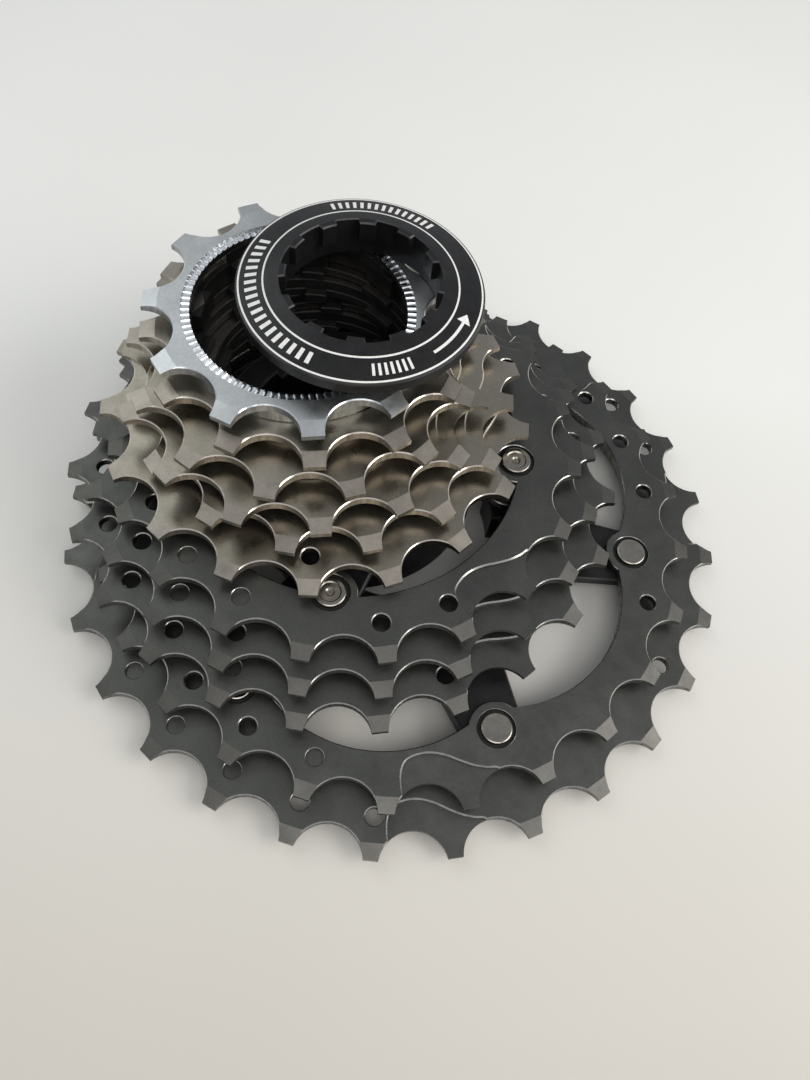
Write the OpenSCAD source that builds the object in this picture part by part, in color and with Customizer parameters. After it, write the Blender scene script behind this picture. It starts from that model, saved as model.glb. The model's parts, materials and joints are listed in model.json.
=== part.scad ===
// Eleven-speed bicycle cassette, 11 to 28 teeth, lying on its back as a loose stack of pieces.
// Millimetres. +Z points outboard along the wheel axis. The origin is on the axis of the largest
// sprocket, in the plane of the rear seat that meets the freehub's shoulder.
// The upper pieces have slid sideways off the axis. Each one slides back onto it.

/* [Teeth] */
// Pitch of the chain
chain_pitch = 12.7; // [12.6:0.1:12.8]
// Depth of a tooth gap below the pitch circle, which is the radius of a chain roller
root_drop = 3.9; // [3.8:0.05:4]
// Height of the tooth tips above the pitch circle
tip_rise = 0.57; // [0.3:0.01:1]
// Radius of the round tooth gaps on the largest sprocket
gap_radius = 5.4; // [5.2:0.1:5.6]
// Loss of gap radius for each tooth fewer
gap_radius_step = 0.02; // [0:0.005:0.03]
// Radial length of the bevel on the outboard side of the tooth tips
tip_bevel_len = 2.4; // [1:0.1:3]
// Thickness that the bevel takes from the tooth tips
tip_bevel_drop = 0.6; // [0.2:0.05:0.9]

/* [Stack] */
// Thickness of a sprocket plate
plate_t = 1.6; // [1.4:0.05:1.8]
// Distance from one sprocket to the next along the axis
stack_pitch = 3.74; // [3.6:0.01:3.95]
// Height of the largest sprocket's back above the rear seat
seat_height = 2; // [1:0.1:3]
// Free play between two loose pieces that lie on each other
play = 0.06; // [0.04:0.01:0.1]

/* [Spline] */
// Radius of the bore between the spline tabs
bore_r = 17.45; // [17.3:0.05:17.6]
// Radius of the circle that the tab tips touch
tab_tip_r = 16.1; // [15.8:0.1:16.3]
// Width of a spline tab
tab_w = 5.4; // [4.5:0.1:6]
// Width of the one narrow tab that sets the rotation
key_tab_w = 3.6; // [3:0.1:4.5]
// Number of spline tabs
tab_count = 9; // [9:1:9]
// Outer radius of the two spider hubs
hub_r = 22; // [21:0.1:22.5]
// Outer radius of the loose spacer rings
spacer_r = 20.2; // [19.5:0.1:20.6]

/* [Large cluster] */
// Number of arms on the large spider
large_arms = 6; // [6:1:6]
// Radius of the circle through its rivets
large_rivet_pcd_r = 40.9; // [40.6:0.1:41.2]
// Direction of its first rivet
large_rivet_angle = -6.6; // [-8:0.1:-5]
// Radius of each round window in its rings
large_window_r = 22.4; // [22:0.1:22.6]
// How much further the windows of the largest ring reach than those of the next one
rear_window_step = 1.7; // [1.3:0.1:1.9]
// Distance from the axis to the centre of each round window
large_window_offset = 19.8; // [19.5:0.1:20]
// Radius of the lobes that carry its rivets
large_lobe_r = 4.4; // [4:0.1:4.8]
// Half width of an arm at the hub
large_arm_root = 7.4; // [6.5:0.1:8]
// Half width of an arm at its rivet
large_arm_tip = 4.9; // [4.4:0.1:5.4]

/* [Middle cluster] */
// Number of arms on the middle spider
mid_arms = 4; // [4:1:4]
// Radius of the circle through its rivets
mid_rivet_pcd_r = 27.9; // [27.7:0.1:28.1]
// Direction of its first rivet
mid_rivet_angle = -2.9; // [-5:0.1:0]
// Radius of the round opening in its rings
mid_opening_r = 28.4; // [28.2:0.1:28.6]
// Radius of the lobes that carry its rivets
mid_lobe_r = 4.3; // [4.1:0.1:4.6]
// Half width of an arm at the hub
mid_arm_root = 7; // [6:0.1:8]
// Half width of an arm at its rivet
mid_arm_tip = 4.1; // [3.8:0.1:4.3]

/* [Rivets] */
// Radius of a rivet's shank
rivet_r = 1.6; // [1.4:0.1:1.8]
// Radius of a rivet's head
rivet_head_r = 2.5; // [2.2:0.1:2.6]
// Radius of the recess around a head
rivet_recess_r = 3.1; // [2.8:0.1:3.2]
// Depth of that recess
rivet_recess_d = 0.5; // [0.3:0.1:0.7]
// Height of a head above the sprocket's face
rivet_proud = 0.25; // [0.1:0.05:0.4]

/* [Lockring] */
// Outer radius of the flange
flange_r = 18; // [17.6:0.05:18.2]
// Height of the flange's rim
rim_h = 2.1; // [1.8:0.1:2.6]
// Rise of the conical face from the rim to the hole
face_rise = 1.55; // [1:0.05:2]
// Crest radius of the thread on the neck
thread_r = 15.3; // [15.2:0.05:15.4]
// Pitch of that thread
thread_pitch = 1.06; // [1:0.01:1.1]
// Length of the neck
neck_len = 2.9; // [2.6:0.1:3.4]
// Radius of the hole between the tool notches
tool_r = 10.9; // [10.6:0.1:11.1]
// Radius at the bottom of the tool notches
notch_r = 11.8; // [11.6:0.1:12]
// Width of a tool notch
notch_w = 3.4; // [3:0.1:3.6]
// Length of a tool notch, above a wider plain bore
notch_len = 3.4; // [3:0.1:4]
// Number of tool notches
notch_count = 12; // [12:1:12]

/* [Hidden] */
$fn = 72;

// Where each loose piece lies, seen along the axis
mid_at = [-9.5, 6.5];
at_17t = [-15, 11.5];
at_15t = [-14.3, 12.2];
at_14t = [-16.9, 11.4];
at_13t = [-17.4, 12.6];
at_12t = [-16.9, 13.9];
at_11t = [-18.2, 14.3];
lockring_at = [-9.3, 14.5];

eps = 0.01;
fit = 0.02;
titanium = [0.28, 0.28, 0.27];
nickel = [0.62, 0.57, 0.5];
silver = [0.72, 0.74, 0.76];
black = [0.08, 0.08, 0.09];
alloy = [0.6, 0.6, 0.6];
gap_t = stack_pitch - plate_t;
ramp_depth = 0.7;
ramp_lip = 4.5;
ramp_round = 2.1;
hole_r = 1.4;
hole_inset = 1.75;
dimple_depth = 0.6;

function pitch_r(teeth) = chain_pitch / 2 / sin(180 / teeth);
function root_r(teeth) = pitch_r(teeth) - root_drop;
function tip_r(teeth) = pitch_r(teeth) + tip_rise;
function gap_r(teeth) = gap_radius - gap_radius_step * (28 - teeth);
// Height of the outboard face of a sprocket, counted from the largest one
function face_z(level) = seat_height + plate_t + level * stack_pitch;

// --- Shapes that repeat ---------------------------------------------------------------

// Outline of a toothed disc, with the middle of tooth 0 on the X axis
module tooth_outline(teeth) {
    difference() {
        circle(tip_r(teeth));
        for (k = [0:teeth - 1])
            rotate((k + 0.5) * 360 / teeth)
                translate([root_r(teeth) + gap_r(teeth), 0])
                    circle(gap_r(teeth));
    }
}

// Toothed disc with its back at z = 0 and a bevel around its outboard edge
module toothed_disc(teeth) {
    tip = tip_r(teeth);
    intersection() {
        linear_extrude(plate_t) tooth_outline(teeth);
        rotate_extrude()
            polygon([
                [0, 0], [tip - 0.3, 0], [tip, 0.3], [tip, plate_t - tip_bevel_drop],
                [tip - tip_bevel_len, plate_t], [0, plate_t]
            ]);
    }
}

// Bore with inward tabs, as a shape to cut away
module spline_bore(r = bore_r) {
    union() {
        circle(tab_tip_r);
        difference() {
            circle(r);
            for (i = [0:tab_count - 1]) {
                w = i == 0 ? key_tab_w : tab_w;
                rotate(90 + i * 360 / tab_count)
                    translate([0, -w / 2])
                        square([r + 1, w]);
            }
        }
    }
}

// Round-ended bar between two points
module bar(from, to, r) {
    run = to - from;
    translate(from) circle(r);
    translate(to) circle(r);
    translate(from) rotate(atan2(run[1], run[0])) translate([0, -r]) square([norm(run), 2 * r]);
}

// Plan of a shift ramp, drawn about the root of a tooth on the X axis
module ramp_plan(lip) {
    low = [ramp_round - lip, -7.6];
    high = [ramp_round - lip, -3.8];
    runout = [1.7, 4.6];
    bar(low, high, ramp_round);
    bar(high, runout, ramp_round);
    polygon([[low[0], low[1] - ramp_round], [1.5, -10.2], [8, -10.2], [8, 6.7], runout, high]);
}

// Cuts for a sprocket: shift ramps, holes through it and blind dimples, by tooth number
module tooth_cuts(teeth, ramps, holes, dimples, lip = ramp_lip) {
    for (k = ramps)
        rotate(k * 360 / teeth)
            translate([root_r(teeth), 0, plate_t - ramp_depth])
                linear_extrude(1) ramp_plan(lip);
    for (k = holes)
        rotate(k * 360 / teeth)
            translate([root_r(teeth) - hole_inset, 0, -1])
                cylinder(r = hole_r, h = plate_t + 2);
    for (k = dimples)
        rotate(k * 360 / teeth)
            translate([root_r(teeth) - hole_inset, 0, plate_t - dimple_depth])
                cylinder(r = hole_r, h = 1);
}

// Rivet holes, with a recess for a head in the outboard or the inboard face
module rivet_holes(count, pcd_r, angle, recess_z) {
    for (i = [0:count - 1])
        rotate(angle + i * 360 / count)
            translate([pcd_r, 0, 0]) {
                translate([0, 0, -1]) cylinder(r = rivet_r + fit, h = plate_t + 2);
                translate([0, 0, recess_z]) cylinder(r = rivet_recess_r, h = 1 + rivet_recess_d);
            }
}

// Recess heights for rivet_holes: outboard face, inboard face, or none
recess_out = plate_t - rivet_recess_d;
recess_in = -1;
recess_none = plate_t + 1;

// Windows of the large rings, one between each pair of rivets, with a lobe left at each rivet
module large_windows(widen) {
    difference() {
        for (i = [0:large_arms - 1])
            rotate(large_rivet_angle + (i + 0.5) * 360 / large_arms)
                translate([large_window_offset, 0])
                    circle(large_window_r + widen);
        for (i = [0:large_arms - 1])
            rotate(large_rivet_angle + i * 360 / large_arms)
                translate([large_rivet_pcd_r, 0])
                    circle(large_lobe_r);
    }
}

// Opening of the middle rings, with a lobe left at each rivet
module mid_opening() {
    difference() {
        circle(mid_opening_r);
        for (i = [0:mid_arms - 1])
            rotate(mid_rivet_angle + i * 360 / mid_arms)
                translate([mid_rivet_pcd_r, 0])
                    circle(mid_lobe_r);
    }
}

// Plan of tapered arms that end in a round boss at each rivet
module arms(count, pcd_r, angle, root_half, tip_half) {
    for (i = [0:count - 1])
        rotate(angle + i * 360 / count) {
            polygon([
                [hub_r - 2, -root_half], [pcd_r, -tip_half],
                [pcd_r, tip_half], [hub_r - 2, root_half]
            ]);
            translate([pcd_r, 0]) circle(tip_half);
        }
}

// Rivets whose heads sit in the recesses of the top and bottom plates
module rivets(count, pcd_r, angle, bottom_z, top_z) {
    for (i = [0:count - 1])
        rotate(angle + i * 360 / count)
            translate([pcd_r, 0, bottom_z - rivet_proud]) {
                cylinder(r = rivet_r, h = top_z - bottom_z + 2 * rivet_proud);
                cylinder(r = rivet_head_r, h = rivet_recess_d + rivet_proud - fit);
                translate([0, 0, top_z - bottom_z + rivet_proud - rivet_recess_d + fit])
                    cylinder(r = rivet_head_r, h = rivet_recess_d + rivet_proud - fit);
            }
}

// Sprocket of the large cluster: a ring held by rivets
module large_ring(teeth, level, phase, ramps, holes, dimples, recess_z, widen = 0) {
    translate([0, 0, face_z(level) - plate_t])
        difference() {
            rotate(phase)
                difference() {
                    toothed_disc(teeth);
                    tooth_cuts(teeth, ramps, holes, dimples);
                }
            translate([0, 0, -1]) linear_extrude(plate_t + 2) large_windows(widen);
            rivet_holes(large_arms, large_rivet_pcd_r, large_rivet_angle, recess_z);
        }
}

// Sprocket of the middle cluster: a ring held by rivets
module mid_ring(teeth, level, phase, ramps, holes, dimples, recess_z) {
    translate([mid_at[0], mid_at[1], face_z(level) - plate_t])
        difference() {
            rotate(phase)
                difference() {
                    toothed_disc(teeth);
                    tooth_cuts(teeth, ramps, holes, dimples);
                }
            translate([0, 0, -1]) linear_extrude(plate_t + 2) mid_opening();
            rivet_holes(mid_arms, mid_rivet_pcd_r, mid_rivet_angle, recess_z);
        }
}

// Single sprocket that slides on the spline by itself
module single_sprocket(teeth, level, at, phase, ramps, holes, dimples, lip) {
    translate([at[0], at[1], face_z(level) - plate_t])
        difference() {
            rotate(phase)
                difference() {
                    toothed_disc(teeth);
                    tooth_cuts(teeth, ramps, holes, dimples, lip);
                }
            translate([0, 0, -1]) linear_extrude(plate_t + 2) spline_bore();
        }
}

// Ring that keeps two sprockets apart, resting on the lower one
module spacer(level, at) {
    translate([at[0], at[1], face_z(level) + play])
        linear_extrude(gap_t - 2 * play)
            difference() {
                circle(spacer_r);
                circle(bore_r);
            }
}

// --- Large cluster: the two largest sprockets on a six-armed spider ---------------------

module sprocket_28t() {
    color(titanium)
        large_ring(28, 0, -92.2, [1, 8, 15, 22], [0, 5, 9, 10, 19, 27], [24, 25, 26], recess_in,
                   rear_window_step);
}

module sprocket_25t() {
    color(titanium)
        large_ring(25, 1, -90.4, [1, 10, 18], [5, 7, 8, 9, 15, 22, 23], [24], recess_out);
}

module large_spider() {
    arm_z = face_z(0) + fit;
    color(black)
        difference() {
            union() {
                cylinder(r = hub_r, h = face_z(1));
                translate([0, 0, arm_z])
                    linear_extrude(gap_t - 2 * fit)
                        arms(large_arms, large_rivet_pcd_r, large_rivet_angle,
                             large_arm_root, large_arm_tip);
            }
            translate([0, 0, -1]) linear_extrude(face_z(1) + 2) spline_bore();
            for (i = [0:large_arms - 1])
                rotate(large_rivet_angle + i * 360 / large_arms)
                    translate([large_rivet_pcd_r, 0, 0])
                        cylinder(r = rivet_r + fit, h = face_z(1));
        }
}

module large_rivets() {
    color(nickel)
        rivets(large_arms, large_rivet_pcd_r, large_rivet_angle, seat_height, face_z(1));
}

// --- Middle cluster: three sprockets on a four-armed spider -----------------------------

module sprocket_23t() {
    color(titanium)
        mid_ring(23, 2, -80.8, [2, 9, 15], [1, 6, 12, 17, 18, 19, 20], [21], recess_in);
}

module sprocket_21t() {
    color(titanium)
        mid_ring(21, 3, -79.8, [2, 9, 15], [6, 12, 17, 19], [18], recess_none);
}

module sprocket_19t() {
    color(titanium)
        mid_ring(19, 4, -78.5, [2, 8, 13], [0, 1, 6, 11, 15], [16, 17], recess_out);
}

// The arms lie between the two smaller rings of the cluster, and the hub reaches past both ends
module mid_spider() {
    hub_bottom = face_z(1) + play;
    hub_top = face_z(5) - plate_t - play;
    color(black)
        translate([mid_at[0], mid_at[1], 0])
            difference() {
                union() {
                    translate([0, 0, hub_bottom]) cylinder(r = hub_r, h = hub_top - hub_bottom);
                    translate([0, 0, face_z(3) + fit])
                        linear_extrude(gap_t - 2 * fit)
                            arms(mid_arms, mid_rivet_pcd_r, mid_rivet_angle,
                                 mid_arm_root, mid_arm_tip);
                }
                translate([0, 0, hub_bottom - 1])
                    linear_extrude(hub_top - hub_bottom + 2) spline_bore();
                for (i = [0:mid_arms - 1])
                    rotate(mid_rivet_angle + i * 360 / mid_arms)
                        translate([mid_rivet_pcd_r, 0, 0])
                            cylinder(r = rivet_r + fit, h = hub_top);
            }
}

// Collars on the rivets that keep the two larger rings of the cluster apart
module mid_collars() {
    color(alloy)
        translate([mid_at[0], mid_at[1], face_z(2) + fit])
            for (i = [0:mid_arms - 1])
                rotate(mid_rivet_angle + i * 360 / mid_arms)
                    translate([mid_rivet_pcd_r, 0, 0])
                        difference() {
                            cylinder(r = mid_arm_tip - 0.4, h = gap_t - 2 * fit);
                            translate([0, 0, -1]) cylinder(r = rivet_r + fit, h = gap_t + 2);
                        }
}

module mid_rivets() {
    color(nickel)
        translate([mid_at[0], mid_at[1], 0])
            rivets(mid_arms, mid_rivet_pcd_r, mid_rivet_angle, face_z(2) - plate_t, face_z(4));
}

// --- Loose single sprockets and the rings between them ----------------------------------

module sprocket_17t() {
    color(nickel) single_sprocket(17, 5, at_17t, -88.4, [4, 10], [0, 8], [13], 4.2);
}

module spacer_15_17() {
    color(alloy) spacer(5, at_17t);
}

module sprocket_15t() {
    color(nickel) single_sprocket(15, 6, at_15t, -96.5, [4, 11], [8], [], 3.4);
}

module spacer_14_15() {
    color(alloy) spacer(6, at_15t);
}

module sprocket_14t() {
    color(nickel) single_sprocket(14, 7, at_14t, -81.5, [3, 10], [], [], 3);
}

module spacer_13_14() {
    color(alloy) spacer(7, at_14t);
}

module sprocket_13t() {
    color(nickel) single_sprocket(13, 8, at_13t, -97.5, [], [], [], 2);
}

// The twelve-tooth sprocket carries its own spacer on its inboard side
module sprocket_12t() {
    spacer_z = face_z(8) + play;
    color(nickel)
        union() {
            single_sprocket(12, 9, at_12t, -83.4, [], [], [], 2);
            translate([at_12t[0], at_12t[1], spacer_z])
                linear_extrude(face_z(9) - plate_t - spacer_z + eps)
                    difference() {
                        circle(spacer_r - 0.8);
                        spline_bore();
                    }
        }
}

// The eleven-tooth sprocket has a plain hole in its plate, which the lockring's neck passes,
// and its own splined spacer on its inboard side
module sprocket_11t() {
    spacer_z = face_z(9) + play;
    plate_z = face_z(10) - plate_t;
    color(silver)
        translate([at_11t[0], at_11t[1], 0])
            difference() {
                union() {
                    translate([0, 0, plate_z]) rotate(-80.5) toothed_disc(11);
                    translate([0, 0, spacer_z]) cylinder(r = root_r(11) - 0.1, h = gap_t - play + eps);
                }
                cylinder(r = tab_tip_r, h = face_z(11));
                translate([0, 0, spacer_z - 1]) linear_extrude(gap_t - play + 1) spline_bore();
            }
}

// --- Lockring ----------------------------------------------------------------------------

neck_z = face_z(10) + play;
flange_z = neck_z + neck_len;
washer_t = 0.6;

// Thin ring that stays on the neck, against the flange
module lockring_washer() {
    color(silver)
        translate([lockring_at[0], lockring_at[1], flange_z - washer_t - fit])
            difference() {
                cylinder(r = flange_r - 0.9, h = washer_t);
                translate([0, 0, -1]) cylinder(r = thread_r + 0.06, h = washer_t + 2);
            }
}

// Flange with a conical face, threaded neck, and a hole with notches for the tool
module lockring() {
    thread_depth = 0.55;
    first_notch = 13.7;
    root = thread_r - thread_depth;
    turns = floor(neck_len / thread_pitch);
    rim_top = neck_len + rim_h;
    top = rim_top + face_rise;
    color(black)
        translate([lockring_at[0], lockring_at[1], neck_z])
            difference() {
                rotate_extrude()
                    polygon(concat(
                        [[tool_r - 2, 0], [root, 0]],
                        [for (i = [0:turns - 1], p = [[0.15, 0], [0.45, 1], [0.65, 1], [0.95, 0]])
                            [root + thread_depth * p[1], (i + p[0]) * thread_pitch]],
                        [[root, neck_len], [flange_r - 0.2, neck_len], [flange_r, neck_len + 0.2],
                         [flange_r, rim_top - 0.3], [flange_r - 0.3, rim_top],
                         [notch_r, top], [tool_r - 2, top]]
                    ));
                translate([0, 0, -1]) cylinder(r = tool_r, h = top + 2);
                translate([0, 0, -1]) cylinder(r = notch_r, h = top - notch_len + 1);
                for (i = [0:notch_count - 1])
                    rotate(first_notch + i * 360 / notch_count)
                        translate([tool_r - 1, -notch_w / 2, top - notch_len - 1])
                            cube([notch_r - tool_r + 1, notch_w, notch_len + 2]);
            }
}

sprocket_28t();
sprocket_25t();
large_spider();
large_rivets();
sprocket_23t();
sprocket_21t();
sprocket_19t();
mid_spider();
mid_collars();
mid_rivets();
sprocket_17t();
spacer_15_17();
sprocket_15t();
spacer_14_15();
sprocket_14t();
spacer_13_14();
sprocket_13t();
sprocket_12t();
sprocket_11t();
lockring_washer();
lockring();
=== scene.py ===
import json
import math
from collections import namedtuple

import bmesh
import bpy
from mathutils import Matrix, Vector

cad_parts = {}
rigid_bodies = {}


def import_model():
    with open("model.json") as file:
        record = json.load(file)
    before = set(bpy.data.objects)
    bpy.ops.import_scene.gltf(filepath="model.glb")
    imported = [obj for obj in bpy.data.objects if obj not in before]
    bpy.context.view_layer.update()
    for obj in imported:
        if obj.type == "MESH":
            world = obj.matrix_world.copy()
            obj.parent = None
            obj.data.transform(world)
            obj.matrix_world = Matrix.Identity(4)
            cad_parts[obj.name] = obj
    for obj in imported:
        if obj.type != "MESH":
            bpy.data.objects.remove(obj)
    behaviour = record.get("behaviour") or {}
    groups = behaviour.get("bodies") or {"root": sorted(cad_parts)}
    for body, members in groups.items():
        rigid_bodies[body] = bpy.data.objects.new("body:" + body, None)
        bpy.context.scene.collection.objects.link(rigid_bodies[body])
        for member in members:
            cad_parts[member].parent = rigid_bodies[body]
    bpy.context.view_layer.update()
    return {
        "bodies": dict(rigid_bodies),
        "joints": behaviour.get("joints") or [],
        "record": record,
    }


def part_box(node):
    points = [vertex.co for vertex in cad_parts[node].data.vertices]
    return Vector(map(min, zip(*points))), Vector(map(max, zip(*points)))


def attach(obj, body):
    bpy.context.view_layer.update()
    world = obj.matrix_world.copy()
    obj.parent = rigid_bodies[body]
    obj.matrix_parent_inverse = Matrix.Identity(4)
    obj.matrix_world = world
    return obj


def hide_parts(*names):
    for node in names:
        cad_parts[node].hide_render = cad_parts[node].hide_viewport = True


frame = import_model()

MM = 0.001

# --- Dimensions that the cassette's shape follows from, in millimetres and degrees --------

# Teeth between round gaps. Roots lie so far inside the pitch circle and tips so far outside it.
# The gap radius is that of the largest sprocket, and less by the step for each tooth fewer.
CHAIN_PITCH = 12.7
ROOT_DROP = 3.9
TIP_RISE = 0.57
LARGEST_TEETH = 28
GAP_RADIUS = 5.4
GAP_RADIUS_STEP = 0.02
GAP_STEPS = 20

# Plates: thickness, edge chamfers, and the bevel on the outboard side of the tips
PLATE_T = 1.6
EDGE = 0.16
TIP_BEVEL_LEN = 2.4
TIP_BEVEL_SLOPE = 0.25

# Holes, blind dimples and shift ramps near the tooth roots
HOLE_R = 1.4
HOLE_INSET = 1.75
DIMPLE_DEPTH = 0.6
POCKET_FLARE = 0.1
RAMP_DEPTH = 0.7
RAMP_FLARE = 0.24
RING_RAMP_REACH = 4.6
SINGLE_RAMP_REACH = 3.4

# Splined bore
BORE_R = 17.45
TAB_TIP_R = 16.1
TAB_W = 5.4
KEY_TAB_W = 3.6
TAB_COUNT = 9
# Inside these radii the bores are painted with shade
SHADED_BORE_R = BORE_R + 0.4
SHADED_BORE_R_11T = TAB_TIP_R - 0.01

# Spiders and the openings of the rings on them
HUB_R = 22
HUB_EDGE = 0.35
ARM_ROOT_R = HUB_R - 1
ARM_HOLE_R = HUB_R - 2
ARM_EDGE = 0.3
ARM_GAP = 0.02
LARGE_ARMS = 6
LARGE_RIVET_R = 40.9
LARGE_RIVET_ANGLE = -6.6
WINDOW_R = 22.4
REAR_WINDOW_STEP = 1.7
WINDOW_OFFSET = 19.8
LARGE_LOBE_R = 4.4
LARGE_ARM_HALVES = (7.4, 4.9)
MID_ARMS = 4
MID_RIVET_R = 27.9
MID_RIVET_ANGLE = -2.9
MID_OPENING_R = 28.4
MID_LOBE_R = 4.3
MID_ARM_HALVES = (7, 4.1)

# Where the rivets of each riveted group are: their number, the first one's direction, their reach
LARGE_PATTERN = (LARGE_ARMS, LARGE_RIVET_ANGLE, LARGE_RIVET_R)
MID_PATTERN = (MID_ARMS, MID_RIVET_ANGLE, MID_RIVET_R)

# Rivets, their recesses and their collars
RIVET_SHANK_R = 1.6
RIVET_HEAD_R = 2.5
RIVET_ROOM = 0.02
RIVET_PROUD = 0.25
RECESS_R = 3.1
RECESS_DEPTH = 0.5
# Painted shade darkens the recesses within this radius, and below this depth under the face
RECESS_SHADE_R = RECESS_R + 0.01
RECESS_SHADE_DEPTH = 0.09
COLLAR_R = MID_ARM_HALVES[1] - 0.4

# Spacers, loose ones and those in one piece with a sprocket, which reach into its plate
SPACER_R = 20.2
SPACER_GROOVE = 0.25
GROOVE_HALVES = (0.3, 0.2)
RING_EDGE = 0.15
OWN_SPACER_R = 19.4
OWN_SPACER_INSET_11T = 0.1
OWN_SPACER_MIN_H = 0.5
OWN_SPACER_OVERLAP = 0.3

# Serrations on the face of the smallest sprocket: a low ring with crests on it
SERRATION_R = (16.1, 17.35)
SERRATION_COUNT = 96
SERRATION_CRESTS = (0, 0, 0, 0.3, 1, 0.3)
SERRATION_SEAT_DEPTH = 0.45
SERRATION_FOOT_DEPTH = 0.5
SERRATION_BASE_DEPTH = 0.42
SERRATION_HEIGHT = 0.44
SERRATION_ROOM = 0.02

# Lockring
FLANGE_R = 18
RIM_H = 2.1
FACE_EDGE = 0.3
FACE_RISE = 1.55
THREAD_R = 15.3
THREAD_PITCH = 1.06
THREAD_DEPTH = 0.55
TOOL_R = 10.9
NOTCH_R = 11.8
NOTCH_W = 3.4
NOTCH_LEN = 3.4
NOTCH_FLARE = 0.2
NOTCH_COUNT = 12
FIRST_NOTCH = 13.7
LOCKRING_BORE_R = NOTCH_R + 0.03
LOCKRING_CORE_R = TOOL_R - 2
KNURL_COUNT = 150
KNURL_DEPTH = 0.15
KNURL_HALF_ANGLE = 0.9
KNURL_GAPS = (0.3, 0.35)
WASHER_INNER_R = THREAD_R + 0.06
WASHER_OUTER_R = FLANGE_R - 0.9
WASHER_EDGE = 0.08

# Paint on the lockring: circles, rows of ticks (start, end, step) and an arrow
MARK_PROUD = 0.03
MARK_CIRCLES = ((17.42, 17.68), (13.92, 14.18))
TICK_RADII = (14.95, 16.65)
TICK_ROWS = ((155, 250, 5), (278, 300, 3.2), (52, 112, 4))
TICK_SHARE = 0.45
ARROW_MID_R = 15.8
ARROW_HALF_W = 0.2
ARROW_ANGLES = (312, 338)
ARROW_STEPS = 17
ARROW_HEAD_HALF_W = 0.95
ARROW_HEAD_STEPS = 8
ARROW_HEAD_STEP = 0.7

# How far a cutter reaches past the face it cuts from, past the tooth tips, and elsewhere
CUTTER_REACH = 1
CUTTER_MARGIN = 0.8
SHORT_MARGIN = 0.5

# Points around circles of each kind
HOLE_STEPS = 28
RECESS_STEPS = 40
RIVET_STEPS = 48
BORE_STEPS = 120
RING_STEPS = 144
SEAT_STEPS = 156
HUB_STEPS = 160
LOCKRING_STEPS = 240
TIP_STEPS_PER_TOOTH = 12

# Edges up to this angle are shaded smooth, and points and slivers smaller than this are merged
SMOOTH_ANGLE = 11
RIVET_SMOOTH_ANGLE = 24
MERGE_DIST = 0.002
SLIVER_DIST = 0.001

# Each ring and each single sprocket: teeth, direction of tooth 0, and the teeth that have
# a shift ramp, a hole through the plate, or a blind dimple
Wheel = namedtuple("Wheel", "teeth phase ramps holes dimples")

RINGS = {
    "sprocket_28t": Wheel(28, -92.2, (1, 8, 15, 22), (0, 5, 9, 10, 19, 27), (24, 25, 26)),
    "sprocket_25t": Wheel(25, -90.4, (1, 10, 18), (5, 7, 8, 9, 15, 22, 23), (24,)),
    "sprocket_23t": Wheel(23, -80.8, (2, 9, 15), (1, 6, 12, 17, 18, 19, 20), (21,)),
    "sprocket_21t": Wheel(21, -79.8, (2, 9, 15), (6, 12, 17, 19), (18,)),
    "sprocket_19t": Wheel(19, -78.5, (2, 8, 13), (0, 1, 6, 11, 15), (16, 17)),
}
SINGLES = {
    "sprocket_17t": Wheel(17, -88.4, (4, 10), (0, 8), (13,)),
    "sprocket_15t": Wheel(15, -96.5, (4, 11), (8,), ()),
    "sprocket_14t": Wheel(14, -81.5, (3, 10), (), ()),
    "sprocket_13t": Wheel(13, -97.5, (), (), ()),
    "sprocket_12t": Wheel(12, -83.4, (), (), ()),
    "sprocket_11t": Wheel(11, -80.5, (), (), ()),
}
RECESSED_RINGS = ("sprocket_25t", "sprocket_19t")


def pitch_r(teeth):
    return CHAIN_PITCH / 2 / math.sin(math.pi / teeth)


def root_r(teeth):
    return pitch_r(teeth) - ROOT_DROP


def tip_r(teeth):
    return pitch_r(teeth) + TIP_RISE


# --- Where things are: bodies and heights come from the frame -----------------------------

BODIES = frame["record"]["behaviour"]["bodies"]
NODE_BODY = {node: body for body, nodes in BODIES.items() for node in nodes}


def body_centres():
    """Each body's own axis in plan, in millimetres.
    A slide ends where its body is on the stack's axis."""
    centres = {}
    children = {joint["child"] for joint in frame["joints"]}
    for body in frame["bodies"]:
        if body not in children:
            centres[body] = Vector((0, 0))
    for joint in frame["joints"]:
        start = centres[joint["parent"]]
        if joint["type"] == "slide":
            travel = joint["range_m"][1] / MM
            start = start - Vector(joint["axis"][:2]) * travel
        centres[joint["child"]] = start
    return centres


CENTRES = body_centres()


def centre_of(node):
    return CENTRES[NODE_BODY[node]]


def heights(node):
    low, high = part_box(node)
    return low.z / MM, high.z / MM


# --- Outlines in plan, about the piece's own axis ------------------------------------------

def polar(radius, degrees, about=(0, 0)):
    angle = math.radians(degrees)
    return (about[0] + radius * math.cos(angle), about[1] + radius * math.sin(angle))


def arc(about, radius, start, end, steps):
    return [polar(radius, start + (end - start) * i / steps, about) for i in range(steps + 1)]


def circle(about, radius, steps):
    return arc(about, radius, 0, 360, steps)[:-1]


def turned(points, degrees):
    angle = math.radians(degrees)
    c, s = math.cos(angle), math.sin(angle)
    return [(x * c - y * s, x * s + y * c) for x, y in points]


def moved(points, offset):
    return [(x + offset[0], y + offset[1]) for x, y in points]


def tooth_outline(teeth, phase):
    """Round gaps between flat-topped teeth."""
    root, tip = root_r(teeth), tip_r(teeth)
    gap = GAP_RADIUS - GAP_RADIUS_STEP * (LARGEST_TEETH - teeth)
    reach = root + gap
    half = math.degrees(math.acos((reach ** 2 + gap ** 2 - tip ** 2) / (2 * reach * gap)))
    points = []
    for k in range(teeth):
        turn = phase + (k + 0.5) * 360 / teeth
        points += arc(polar(reach, turn), gap, turn + 180 + half, turn + 180 - half, GAP_STEPS)
    return points


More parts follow.
